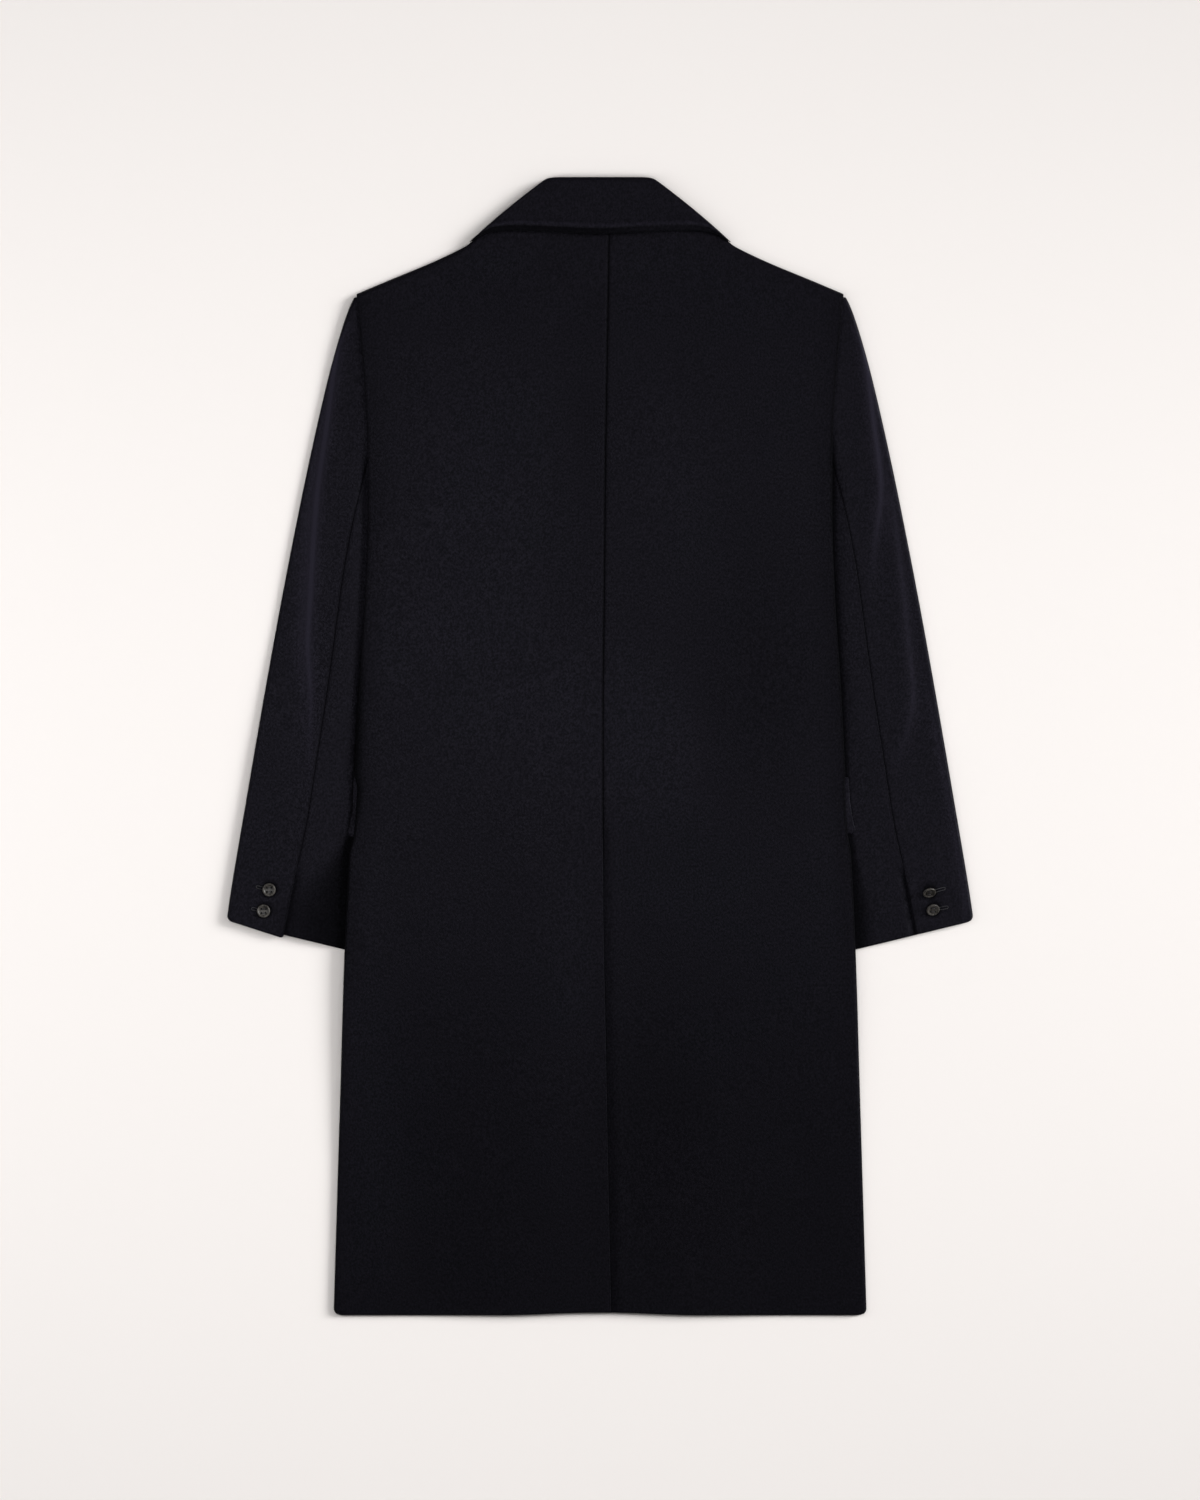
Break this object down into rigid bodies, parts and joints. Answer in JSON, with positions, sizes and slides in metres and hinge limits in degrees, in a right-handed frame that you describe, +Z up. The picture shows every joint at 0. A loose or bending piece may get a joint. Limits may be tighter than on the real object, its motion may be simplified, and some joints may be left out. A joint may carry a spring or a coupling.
{
  "type": "double-breasted coat",
  "caption": "Long dark wool double-breasted overcoat laid flat, back up, with set-in sleeves, turned-down collar, centre back vent and buttoned cuffs.",
  "frame": {"origin": "on the resting plane, under the middle of the laid coat", "axes": "+Y from the hem to the collar, +Z up from the plane to the back of the coat, +X to the wearer's right"},
  "size_m": [0.7692, 1.1712, 0.0177],
  "materials": {
    "wool": "matt napped navy wool",
    "button": "satin dark horn"
  },
  "bodies": {
    "root": {"back_left": "wool", "back_right": "wool", "front_left": "wool", "front_right": "wool", "lapel_left": "wool", "lapel_right": "wool", "collar_fall": "wool", "collar_stand": "wool", "top_sleeve_left": "wool", "top_sleeve_right": "wool", "under_sleeve_left": "wool", "under_sleeve_right": "wool", "pocket_flap_left": "wool", "pocket_flap_right": "wool", "cuff_button_left_1": "button", "cuff_button_left_2": "button", "cuff_button_right_1": "button", "cuff_button_right_2": "button", "front_button_left_1": "button", "front_button_left_2": "button", "front_button_left_3": "button", "front_button_right_1": "button", "front_button_right_2": "button", "front_button_right_3": "button"}
  },
  "joints": []
}
